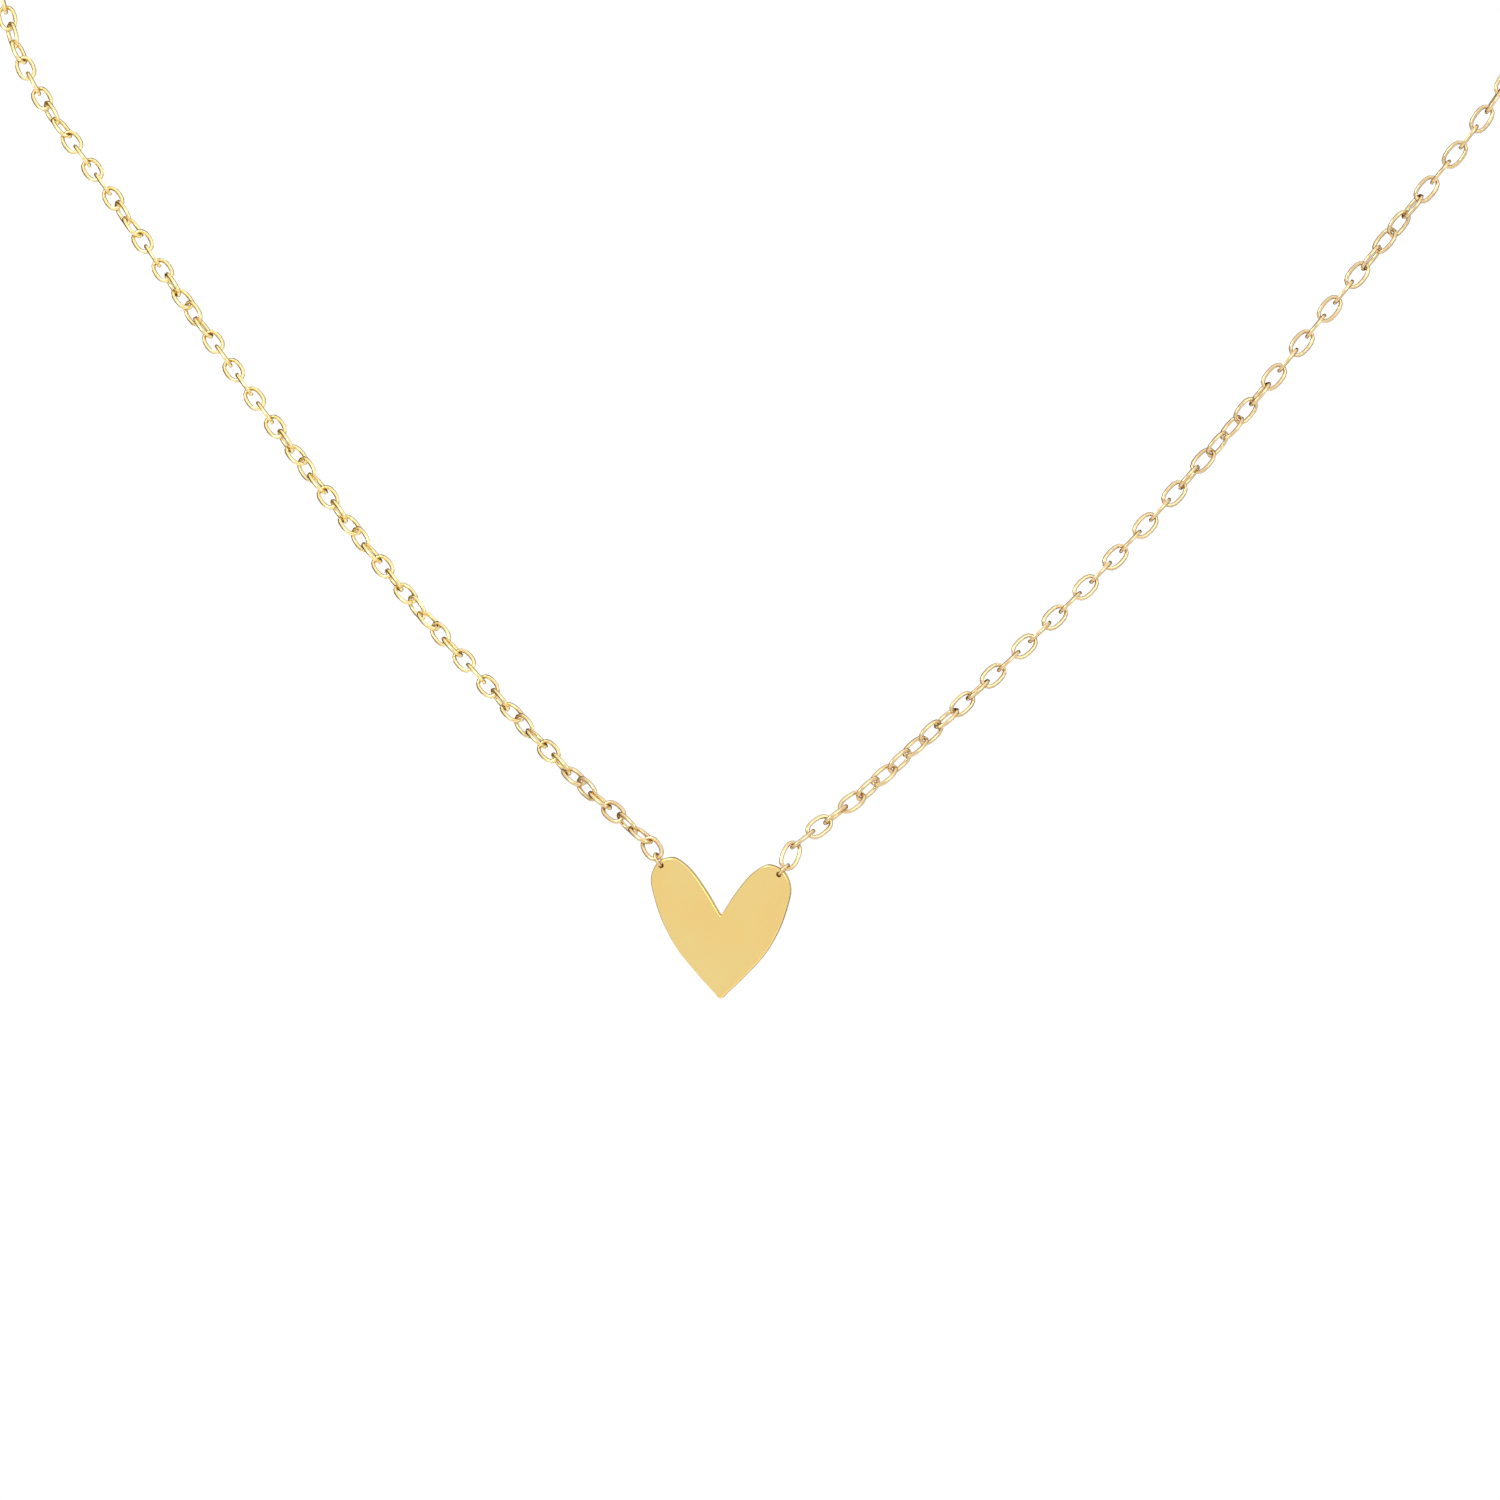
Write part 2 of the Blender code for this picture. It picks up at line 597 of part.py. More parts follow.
def main():
    remove_all_objects()
    routes = make_routes()
    hinge = (routes["left_front"].at(routes["left_front"].length - LINK_WIRE / 2)
             + routes["right_front"].at(routes["right_front"].length - LINK_WIRE / 2)) / 2
    front = add_axis("front_chain_axis", hinge)
    heart_hinge = add_axis("heart_axis", (ring_centre(-1) + ring_centre(1)) / 2)
    make_heart(heart_hinge)
    make_heart_rings(front)
    make_front_strand("left", routes["left_front"], LEFT_LINK_TURNS, front)
    make_front_strand("right", routes["right_front"], RIGHT_LINK_TURNS, front)
    make_back_strand("left", routes["left_back"])
    make_back_strand("right", routes["right_back"])
    make_clasp()
    make_clasp_rings()


main()
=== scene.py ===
# %% [markdown]
# # A fine gold necklace with a flat heart
# The necklace hangs as it does when worn: a loop of oval cable links, closed at the nape
# by a lobster clasp, with a small polished heart at its lowest point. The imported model
# is the skeleton: it says where each piece is and how it moves. Here each piece gets its
# finished shape and its metal.

# %% Load the skeleton
import json
import math

import bmesh
import bpy
from mathutils import Matrix, Vector


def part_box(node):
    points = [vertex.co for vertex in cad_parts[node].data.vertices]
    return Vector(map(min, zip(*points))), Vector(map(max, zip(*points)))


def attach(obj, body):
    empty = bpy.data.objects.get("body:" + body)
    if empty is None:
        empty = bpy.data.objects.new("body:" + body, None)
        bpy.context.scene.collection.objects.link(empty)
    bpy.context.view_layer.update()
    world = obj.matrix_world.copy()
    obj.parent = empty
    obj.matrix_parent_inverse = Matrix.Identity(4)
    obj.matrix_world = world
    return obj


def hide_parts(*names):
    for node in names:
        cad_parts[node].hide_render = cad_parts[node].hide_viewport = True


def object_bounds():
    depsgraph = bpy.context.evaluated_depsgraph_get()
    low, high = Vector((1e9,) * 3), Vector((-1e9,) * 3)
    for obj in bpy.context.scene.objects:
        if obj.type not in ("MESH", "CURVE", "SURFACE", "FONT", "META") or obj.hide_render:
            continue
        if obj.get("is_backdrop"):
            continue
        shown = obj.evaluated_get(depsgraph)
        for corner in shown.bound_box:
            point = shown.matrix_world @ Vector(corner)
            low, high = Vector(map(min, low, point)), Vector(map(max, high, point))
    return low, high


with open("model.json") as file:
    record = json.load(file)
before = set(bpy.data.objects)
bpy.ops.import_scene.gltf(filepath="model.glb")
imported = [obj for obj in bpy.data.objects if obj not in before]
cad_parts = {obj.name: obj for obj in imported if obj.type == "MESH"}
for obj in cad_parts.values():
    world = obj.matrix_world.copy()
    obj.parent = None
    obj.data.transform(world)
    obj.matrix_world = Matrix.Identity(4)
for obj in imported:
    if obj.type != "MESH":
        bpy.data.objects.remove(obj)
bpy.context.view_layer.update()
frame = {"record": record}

# %% [markdown]
# Sizes in jewellery are given in millimetres, so one name turns them into metres.
# The heart's middle is the point that everything else is placed from.

# %% Units and the heart's middle
MM = 0.001
X_AXIS, Y_AXIS, Z_AXIS = Vector((1, 0, 0)), Vector((0, 1, 0)), Vector((0, 0, 1))


def node_middle(node):
    """The middle of a skeleton piece."""
    low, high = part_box(node)
    return (low + high) / 2


def node_size(node):
    low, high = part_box(node)
    return high - low


heart_middle = node_middle("heart")
heart_size = node_size("heart")
print("heart in mm:", [round(1000 * side, 2) for side in heart_size])

# %% [markdown]
# The camera comes first, because every later choice is judged through it. It stands to
# the right of the heart and a little above. A long lens from far away keeps the plate's
# outline true, as in a catalogue picture of jewellery.

# %% Camera
CAMERA_AZIMUTH = math.radians(20)
CAMERA_ELEVATION = math.radians(12)
CAMERA_DISTANCE = 4.0
VIEW_WIDTH = 106.4 * MM
VIEW_RIGHT_OF_HEART = 2.05 * MM
VIEW_ABOVE_HEART = 12.75 * MM

to_camera = Vector((math.sin(CAMERA_AZIMUTH) * math.cos(CAMERA_ELEVATION),
                    -math.cos(CAMERA_AZIMUTH) * math.cos(CAMERA_ELEVATION),
                    math.sin(CAMERA_ELEVATION)))
view_right = Vector((math.cos(CAMERA_AZIMUTH), math.sin(CAMERA_AZIMUTH), 0))
view_up = to_camera.cross(view_right)
aim = heart_middle + VIEW_RIGHT_OF_HEART * view_right + VIEW_ABOVE_HEART * view_up

camera_data = bpy.data.cameras.new("long_lens")
camera_data.lens = camera_data.sensor_width * CAMERA_DISTANCE / VIEW_WIDTH
camera_data.clip_start = 0.5
camera_data.clip_end = 50
camera = bpy.data.objects.new("jewellery_camera", camera_data)
bpy.context.scene.collection.objects.link(camera)
camera.location = aim + CAMERA_DISTANCE * to_camera
camera.rotation_mode = "QUATERNION"
camera.rotation_quaternion = to_camera.to_track_quat("Z", "Y")
bpy.context.scene.camera = camera
print("lens in mm:", round(camera_data.lens))

# %% [markdown]
# Polished metal shows the room more than itself, so the room is half the material.
# The world is a soft white tent with a darker, warm patch behind the necklace, low and to
# the left. That patch draws the thin brown outline along each wire. The camera itself
# sees plain white behind the necklace. The standard view transform keeps it clean.

# %% A white tent with a warm dark patch
PATCH_DIRECTION = Vector((-0.60, 0.75, -0.30)).normalized()
PATCH_STARTS, PATCH_IS_FULL = 0.30, 0.80
PATCH_COLOUR = (0.12, 0.07, 0.025)
CLEAN_WHITE = (1.02, 1.02, 1.02)
TENT_WALL = [(0.0, (0.80, 0.78, 0.74)), (0.38, (1.0, 0.99, 0.97)),
             (0.55, (0.96, 0.95, 0.93)), (0.72, (0.78, 0.77, 0.75)),
             (0.9, (1.25, 1.25, 1.25))]
bpy.context.scene.view_settings.view_transform = "Standard"
world = bpy.data.worlds.new("light_tent")
bpy.context.scene.world = world
world.use_nodes = True
tent = world.node_tree
tent.nodes.clear()


def world_node(kind, **settings):
    """A node of the world, with its settings."""
    node = tent.nodes.new(kind)
    for name, value in settings.items():
        setattr(node, name, value)
    return node


def set_ramp(ramp_node, stops):
    """Give a colour ramp its stops, each a place and a colour."""
    ramp = ramp_node.color_ramp
    while len(ramp.elements) < len(stops):
        ramp.elements.new(0.5)
    for element, (place, colour) in zip(ramp.elements, stops):
        element.position = place
        element.color = (*colour, 1)


direction = world_node("ShaderNodeTexCoord")
height = world_node("ShaderNodeSeparateXYZ")
tent.links.new(direction.outputs["Generated"], height.inputs[0])
height_share = world_node("ShaderNodeMapRange")
height_share.inputs["From Min"].default_value = -1
tent.links.new(height.outputs["Z"], height_share.inputs["Value"])
tent_wall = world_node("ShaderNodeValToRGB")
set_ramp(tent_wall, TENT_WALL)
tent.links.new(height_share.outputs["Result"], tent_wall.inputs["Fac"])
toward_patch = world_node("ShaderNodeVectorMath", operation="DOT_PRODUCT")
toward_patch.inputs[1].default_value = PATCH_DIRECTION
tent.links.new(direction.outputs["Generated"], toward_patch.inputs[0])
patch_share = world_node("ShaderNodeMapRange", interpolation_type="SMOOTHSTEP")
patch_share.inputs["From Min"].default_value = PATCH_STARTS
patch_share.inputs["From Max"].default_value = PATCH_IS_FULL
tent.links.new(toward_patch.outputs["Value"], patch_share.inputs["Value"])
patched = world_node("ShaderNodeMix", data_type="RGBA")
patched.inputs["B"].default_value = (*PATCH_COLOUR, 1)
tent.links.new(patch_share.outputs["Result"], patched.inputs["Factor"])
tent.links.new(tent_wall.outputs["Color"], patched.inputs["A"])
tent_light = world_node("ShaderNodeBackground")
tent.links.new(patched.outputs["Result"], tent_light.inputs["Color"])
clean_white = world_node("ShaderNodeBackground")
clean_white.inputs["Color"].default_value = (*CLEAN_WHITE, 1)
ray = world_node("ShaderNodeLightPath")
seen = world_node("ShaderNodeMixShader")
tent.links.new(ray.outputs["Is Camera Ray"], seen.inputs["Fac"])
tent.links.new(tent_light.outputs[0], seen.inputs[1])
tent.links.new(clean_white.outputs[0], seen.inputs[2])
world_out = world_node("ShaderNodeOutputWorld")
tent.links.new(seen.outputs[0], world_out.inputs["Surface"])
print("the tent has", len(tent.nodes), "nodes")

# %% [markdown]
# Two large soft boxes, above left and above right, give the wires their bright line.
# A pale floor lies well below, so that no shadow of the fine chain is sharp on it.

# %% Soft boxes and floor
def soft_box(name, place, size, watts, tint):
    """A square area light that faces the heart."""
    light = bpy.data.lights.new(name, "AREA")
    light.shape = "SQUARE"
    light.size = size
    light.energy = watts
    light.color = tint
    lamp = bpy.data.objects.new(name, light)
    bpy.context.scene.collection.objects.link(lamp)
    lamp.location = heart_middle + Vector(place)
    lamp.rotation_mode = "QUATERNION"
    lamp.rotation_quaternion = Vector(place).to_track_quat("Z", "Y")


soft_box("left_soft_box", (-0.55, -0.75, 0.75), 0.5, 4, (1.0, 0.98, 0.94))
soft_box("right_soft_box", (0.85, -0.45, 0.55), 0.45, 2, (1.0, 0.95, 0.90))

FLOOR_DEPTH = 0.60
FLOOR_RADIUS = 1.15
FLOOR_SEGMENTS = 96
FLOOR_COLOUR = (0.93, 0.93, 0.92)
FLOOR_ROUGHNESS = 0.9
floor_mesh = bpy.data.meshes.new("pale_floor")
shape = bmesh.new()
bmesh.ops.create_circle(shape, cap_ends=True, radius=FLOOR_RADIUS, segments=FLOOR_SEGMENTS)
bmesh.ops.translate(shape, vec=heart_middle - Z_AXIS * FLOOR_DEPTH, verts=shape.verts)
shape.to_mesh(floor_mesh)
shape.free()
floor = bpy.data.objects.new("pale_floor", floor_mesh)
bpy.context.scene.collection.objects.link(floor)
floor_paint = bpy.data.materials.new("pale_floor_paint")
floor_paint.use_nodes = True
floor_shader = floor_paint.node_tree.nodes["Principled BSDF"]
floor_shader.inputs["Base Color"].default_value = (*FLOOR_COLOUR, 1)
floor_shader.inputs["Roughness"].default_value = FLOOR_ROUGHNESS
floor.data.materials.append(floor_paint)
floor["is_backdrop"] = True
print("floor", round(FLOOR_DEPTH, 2), "m under the heart")

# %% [markdown]
# Gold plating is a metal whose colour is in its reflections. Up close it is never even: its tone
# drifts a little, smudges change its gloss, and polishing leaves hair-fine lines. Seen at a slant
# it turns deeper and browner, which the shader's specular tint gives. One helper builds such a
# finish from noise on object coordinates. A finish can also have painted light and shade: over a
# given distance its base colour ramps from lighter on the left to darker on the right.

# %% The helper for metal finishes
TONE_STARTS, TONE_ENDS = 0.32, 0.68
SMUDGE_SIZE = 0.9 * MM
SMUDGE_STRENGTH = 0.25
LINE_SIZE = 1.2 * MM
LINE_ANGLE = math.radians(38)
LINE_STRETCH = (1, 8, 22)
LINE_STRENGTH = 0.35


def metal_finish(name, tone, other_tone, edge_tone, roughness, drift_size, line_depth,
                 across=None):
    """A polished metal: drifting tone, uneven gloss, fine lines, deeper at a slant, and, with
    across given, painted light and shade from left to right.
    """
    finish = bpy.data.materials.new(name)
    finish.use_nodes = True
    tree = finish.node_tree
    shader = tree.nodes["Principled BSDF"]
    shader.inputs["Metallic"].default_value = 1.0
    shader.inputs["Specular Tint"].default_value = (*edge_tone, 1)
    place = tree.nodes.new("ShaderNodeTexCoord")

    drift = tree.nodes.new("ShaderNodeTexNoise")
    drift.inputs["Scale"].default_value = 1 / drift_size
    drift.inputs["Detail"].default_value = 3
    tree.links.new(place.outputs["Object"], drift.inputs["Vector"])
    tone_and_painted_light = tree.nodes.new("ShaderNodeValToRGB")
    set_ramp(tone_and_painted_light, [(TONE_STARTS, tone), (TONE_ENDS, other_tone)])
    # With across given, the base colour also ramps along X: painted light on the left, painted
    # shade on the right.
    if across:
        sideways = tree.nodes.new("ShaderNodeSeparateXYZ")
        tree.links.new(place.outputs["Object"], sideways.inputs[0])
        shifted = tree.nodes.new("ShaderNodeMath")
        shifted.operation = "MULTIPLY_ADD"
        shifted.inputs[1].default_value = 1 / across
        tree.links.new(sideways.outputs["X"], shifted.inputs[0])
        tree.links.new(drift.outputs["Fac"], shifted.inputs[2])
        tree.links.new(shifted.outputs[0], tone_and_painted_light.inputs["Fac"])
    else:
        tree.links.new(drift.outputs["Fac"], tone_and_painted_light.inputs["Fac"])
    tree.links.new(tone_and_painted_light.outputs["Color"], shader.inputs["Base Color"])

    smudge = tree.nodes.new("ShaderNodeTexNoise")
    smudge.inputs["Scale"].default_value = 1 / SMUDGE_SIZE
    smudge.inputs["Detail"].default_value = 4
    tree.links.new(place.outputs["Object"], smudge.inputs["Vector"])
    gloss = tree.nodes.new("ShaderNodeMapRange")
    gloss.inputs["To Min"].default_value = roughness * (1 - SMUDGE_STRENGTH)
    gloss.inputs["To Max"].default_value = roughness * (1 + SMUDGE_STRENGTH)
    tree.links.new(smudge.outputs["Fac"], gloss.inputs["Value"])
    tree.links.new(gloss.outputs["Result"], shader.inputs["Roughness"])

    along_lines = tree.nodes.new("ShaderNodeMapping")
    along_lines.inputs["Rotation"].default_value = (0, LINE_ANGLE, 0)
    along_lines.inputs["Scale"].default_value = LINE_STRETCH
    tree.links.new(place.outputs["Object"], along_lines.inputs["Vector"])
    lines = tree.nodes.new("ShaderNodeTexNoise")
    lines.inputs["Scale"].default_value = 1 / LINE_SIZE
    lines.inputs["Detail"].default_value = 5
    tree.links.new(along_lines.outputs["Vector"], lines.inputs["Vector"])
    relief = tree.nodes.new("ShaderNodeBump")
    relief.inputs["Strength"].default_value = LINE_STRENGTH
    relief.inputs["Distance"].default_value = line_depth
    tree.links.new(lines.outputs["Fac"], relief.inputs["Height"])
    tree.links.new(relief.outputs["Normal"], shader.inputs["Normal"])
    return finish


# %% [markdown]
# The heart is plated in a clear yellow and polished to a soft shine. The chain is drawn wire,
# glossier, and its base colour carries painted light and shade: painted lighter on the left and
# browner on the right. The clasp is cast, so it is a little deeper. The leaf spring inside it
# stays bare steel.

# %% The four finishes
HEART_FINISH = metal_finish("heart_gold_finish", (0.87, 0.62, 0.225), (0.85, 0.66, 0.27),
                            (0.75, 0.55, 0.35), 0.24, 5.0 * MM, 0.0006 * MM)
# The chain's base colour ramps across 60 mm: painted light on the left, painted shade on the
# right.
CHAIN_GOLD_AND_PAINTED_LIGHT = metal_finish("chain_gold_and_painted_light", (0.97, 0.78, 0.37), (0.77, 0.58, 0.32),
                            (0.30, 0.17, 0.05), 0.17, 3.0 * MM, 0.0006 * MM, across=60 * MM)
CLASP_FINISH = metal_finish("clasp_gold_finish", (0.80, 0.57, 0.21), (0.85, 0.62, 0.26),
                            (0.70, 0.50, 0.30), 0.22, 2.0 * MM, 0.0030 * MM)
SPRING_FINISH = metal_finish("spring_steel_finish", (0.52, 0.51, 0.49), (0.60, 0.59, 0.57),
                             (1.0, 1.0, 1.0), 0.30, 0.8 * MM, 0.0020 * MM)
FINISH_OF_SLOT = {"heart_gold": HEART_FINISH, "chain_gold": CHAIN_GOLD_AND_PAINTED_LIGHT,
                  "clasp_gold": CLASP_FINISH, "spring_steel": SPRING_FINISH}
print("finishes:", ", ".join(FINISH_OF_SLOT))

# %% [markdown]
# Every finished piece takes the place of one piece of the skeleton, moves with that
# piece's body, and wears the finish of its material slot. The skeleton's own record
# says which body and which slot.

# %% The helper that puts a finished piece in place
record = frame["record"]
BODY_OF_NODE = {node: body for body, nodes in record["behaviour"]["bodies"].items()
                for node in nodes}
SLOT_OF_NODE = {part["node"]: part["material_slot"] for part in record["subparts"]}


def place_piece(name, shape, node, flat_angle=180):
    """Turn a finished shape into the piece that stands for a skeleton node."""
    mesh = bpy.data.meshes.new(name)
    shape.to_mesh(mesh)
    shape.free()
    mesh.shade_smooth()
    if flat_angle < 180:
        mesh.set_sharp_from_angle(angle=math.radians(flat_angle))
    mesh.materials.append(FINISH_OF_SLOT[SLOT_OF_NODE[node]])
    piece = bpy.data.objects.new(name, mesh)
    bpy.context.scene.collection.objects.link(piece)
    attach(piece, BODY_OF_NODE[node])
    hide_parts(node)
    return piece


# %% [markdown]
# A cable link is a short wire bent round and soldered shut, then pulled to an oval.
# It is made the same way here: a wire's round section is spun into a ring, and then
# each bit of the ring is moved out to an oval, so that the wire keeps its thickness.

# %% One oval link
LINK_WIDTH = 1.42 * MM
LINK_WIRE = 0.30 * MM
LINK_PLAY = 0.08 * MM
LINK_PITCH = 1.60 * MM
LINK_FULLNESS = 2.4
FINE_LINK = (24, 10)
LIGHT_LINK = (14, 5)
SLOPE_STEP = 0.05


def spin_wire(shape, radius, wire, steps, sides, angle=math.tau):
    """Spin a wire's section about Z into a ring, or into a ring with a gap."""
    made = bmesh.ops.create_circle(shape, segments=sides, radius=wire / 2)["verts"]
    stand_up = Matrix.Translation((radius, 0, 0)) @ Matrix.Rotation(math.pi / 2, 4, "X")
    bmesh.ops.transform(shape, matrix=stand_up, verts=made)
    rim = list(dict.fromkeys(edge for vert in made for edge in vert.link_edges))
    bmesh.ops.spin(shape, geom=made + rim, cent=(0, 0, 0), axis=(0, 0, 1), angle=angle,
                   steps=steps, use_merge=angle == math.tau, use_duplicate=False)


def oval_point(angle, half_length, half_width):
    """A point on the middle line of an oval that is a little fuller than an ellipse."""
    x, y = math.cos(angle), math.sin(angle)
    return Vector((math.copysign(abs(x) ** (2 / LINK_FULLNESS), x) * half_length,
                   math.copysign(abs(y) ** (2 / LINK_FULLNESS), y) * half_width, 0))


def oval_link(pitch, steps, sides):
    """An oval link about the origin, long along X and flat in XY."""
    shape = bmesh.new()
    half_width = (LINK_WIDTH - LINK_WIRE) / 2
    half_length = (pitch + LINK_PLAY + LINK_WIRE) / 2
    spin_wire(shape, half_width, LINK_WIRE, steps, sides)
    turn = Matrix.Rotation(math.pi / steps, 4, "Z")
    bmesh.ops.transform(shape, matrix=turn, verts=shape.verts)
    for vert in shape.verts:
        angle = math.atan2(vert.co.y, vert.co.x)
        out = vert.co.xy.length - half_width
        middle = oval_point(angle, half_length, half_width)
        ahead = (oval_point(angle + SLOPE_STEP, half_length, half_width)
                 - oval_point(angle - SLOPE_STEP, half_length, half_width)).normalized()
        vert.co = middle + out * ahead.cross(Z_AXIS) + vert.co.z * Z_AXIS
    bmesh.ops.recalc_face_normals(shape, faces=shape.faces)
    return shape


sample = oval_link(LINK_PITCH, *LIGHT_LINK)
print("one chain link has", len(sample.faces), "faces")
sample.free()

# %% [markdown]
# The chain's way is the same as the skeleton's: a few points on each strand, joined by
# a smooth curve. From the heart each strand runs to the shoulder, and from there round
# the neck to the clasp. Each stretch is divided into whole links.

# %% Smooth curves and stretches of chain
CURVE_STEPS = 24


def smooth_curve(knots, steps=CURVE_STEPS):
    """Points along a smooth curve that passes through the given ones."""
    ends = [2 * knots[0] - knots[1]] + list(knots) + [2 * knots[-1] - knots[-2]]
    curve = []
    for a, b, c, d in zip(ends, ends[1:], ends[2:], ends[3:]):
        for step in range(steps):
            t = step / steps
            curve.append(0.5 * (2 * b + (c - a) * t + (2 * a - 5 * b + 4 * c - d) * t ** 2
                                + (3 * b - a - 3 * c + d) * t ** 3))
    curve.append(knots[-1].copy())
    return curve


class Stretch:
    """A stretch of chain along a curve, divided into whole links."""

    def __init__(self, curve, facing):
        self.curve = curve
        self.facing = facing
        self.marks = [0.0]
        for a, b in zip(curve, curve[1:]):
            self.marks.append(self.marks[-1] + (b - a).length)
        self.links = round(self.marks[-1] / LINK_PITCH)
        self.pitch = self.marks[-1] / self.links

    def joint(self, number):
        """Where one link bears on the next."""
        distance = min(number * self.pitch, self.marks[-1])
        index = 0
        while index < len(self.marks) - 2 and self.marks[index + 1] < distance:
            index += 1
        share = (distance - self.marks[index]) / (self.marks[index + 1] - self.marks[index])
        return self.curve[index].lerp(self.curve[index + 1], share)

    def along(self, number):
        """The way a link points."""
        return (self.joint(number + 1) - self.joint(number)).normalized()


# %% [markdown]
# The fixed points are the little rings at the lobes and the rings at the clasp, which come from
# the skeleton, and the points on the shoulders where the front of the chain swings, which are
# given here.

# %% The chain's route on each side
NECK_HALF_WIDTH = 63.0 * MM
SHOULDER_DEPTH = 63.0 * MM
SHOULDER_DROP = 40.0 * MM
HEART_RING_WIRE = 0.22 * MM
HEART_RING_OUTER = 1.18 * MM
CLASP_RING_WIRE = 0.40 * MM
END_RING_WIRE = 0.50 * MM
RING_LEAN = {"left": -34, "right": 40}
FIRST_LINK = {"left": (-0.66, 0.53, 0.53), "right": (0.18, 0.56, 0.81)}
WAY_TO_SHOULDER = {
    "left": ((0.143, 0.100, 0.088), (0.398, 0.295, 0.271),
             (0.728, 0.582, 0.551), (0.906, 0.758, 0.728)),
    "right": ((0.136, 0.129, 0.100), (0.441, 0.389, 0.331),
              (0.780, 0.644, 0.654), (0.907, 0.730, 0.788))}
WAY_ROUND_NECK = (18, 36, 54, 72)
SIDES = {"left": -1, "right": 1}


def ring_lean(word):
    """The way a heart ring leans from its hole, in the plane of the heart."""
    angle = math.radians(RING_LEAN[word])
    return Vector((math.sin(angle), 0, math.cos(angle)))


def chain_end(word):
    """Where the last link of a side bears on its ring at the clasp."""
    if word == "left":
        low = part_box("clasp_ring")[0]
        return Vector((low.x + CLASP_RING_WIRE + LINK_PLAY / 2, 0, 0))
    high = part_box("end_ring")[1]
    return Vector((high.x - END_RING_WIRE - LINK_PLAY / 2, 0, 0))


def make_stretches(word):
    """The front and the back stretch of one side."""
    first, lean = Vector(FIRST_LINK[word]).normalized(), ring_lean(word)
    pull = (lean * first.dot(lean) + Y_AXIS * first.dot(Y_AXIS)).normalized()
    bearing = HEART_RING_OUTER / 2 - HEART_RING_WIRE - LINK_WIRE / 2 - LINK_PLAY / 2
    start = (node_middle(word + "_heart_ring") + pull * bearing
             + first * (LINK_WIRE + LINK_PLAY) / 2)
    top = Vector((SIDES[word] * NECK_HALF_WIDTH, -SHOULDER_DEPTH, -SHOULDER_DROP))
    end = chain_end(word)
    span = top - start
    knots = [start + first * LINK_PITCH]
    knots += [start + Vector((x * span.x, y * span.y, z * span.z))
              for x, y, z in WAY_TO_SHOULDER[word]]
    knots.append(top)
    for angle in WAY_ROUND_NECK:
        turn = math.radians(angle)
        knots.append(Vector((end.x + (top.x - end.x) * math.cos(turn),
                             top.y * (1 - math.sin(turn)), top.z * (1 - math.sin(turn)))))
    knots.append(end)
    curve = [start] + smooth_curve(knots)
    turn_point = 1 + CURVE_STEPS * (len(WAY_TO_SHOULDER[word]) + 1)
    return Stretch(curve[:turn_point + 1], -to_camera), Stretch(curve[turn_point:], Y_AXIS)


FRONT, BACK = {}, {}
for word in SIDES:
    FRONT[word], BACK[word] = make_stretches(word)
    print(word, "front", FRONT[word].links, "links, back", BACK[word].links, "links")

# %% [markdown]
# Neighbouring links stand a quarter turn apart, but a worn chain also twists slowly, so
# some links face the viewer and others show an edge or a narrow oval. The twist is
# given at a few links as the turn from facing the viewer, and runs evenly in between.
# The links at the shoulders and at the clasp have the turns that their joints need.

# %% The chain's twist
TURN_AT_LINK = {
    "left": ((0, 0), (1, 60), (2, 118), (3, 184), (4, 256), (5, 320), (6, 404), (7, 466), (8, 540),
             (13, 900), (15, 1080), (22, 1620), (27, 1980), (32, 2340), (36, 2700), (38, 2880),
             (43, 3240), (45, 3420), (48, 3600), (52, 3960), (55, 4140), (57, 4320), (60, 4500)),
    "right": ((0, 0), (2, 180), (3, 262), (4, 332), (5, 412), (6, 500), (7, 590), (13, 1080),
              (25, 2160), (32, 2700), (34, 2880), (38, 3240), (43, 3600), (47, 3960))}


def square_to(axis, hint):
    """The unit direction nearest to the hint that is square to the axis."""
    return (hint - hint.dot(axis) * axis).normalized()


def turned_flat(stretch, number, turn):
    """A link's flat, turned about the strand from where it faces the viewer."""
    along = stretch.along(number)
    return Matrix.Rotation(math.radians(turn), 3, along) @ square_to(along, stretch.facing)


def turn_of(stretch, number, normal):
    """The turn that gives a link this flat."""
    along = stretch.along(number)
    zero, flat = square_to(along, stretch.facing), square_to(along, normal)
    return math.degrees(math.atan2(along.dot(zero.cross(flat)), zero.dot(flat)))


def even_turns(stations, number):
    """The turn at a link, evenly spaced between the given ones."""
    for (start, low), (end, high) in zip(stations, stations[1:]):
        if start <= number <= end:
            return low + (high - low) * (number - start) / (end - start)
    return stations[-1][1]


def to_last(stations, number, turn):
    """Add the last link, about a quarter turn for each link on the way."""
    expected = stations[-1][1] + 90 * (number - stations[-1][0])
    return list(stations) + [(number, turn + 180 * round((expected - turn) / 180))]


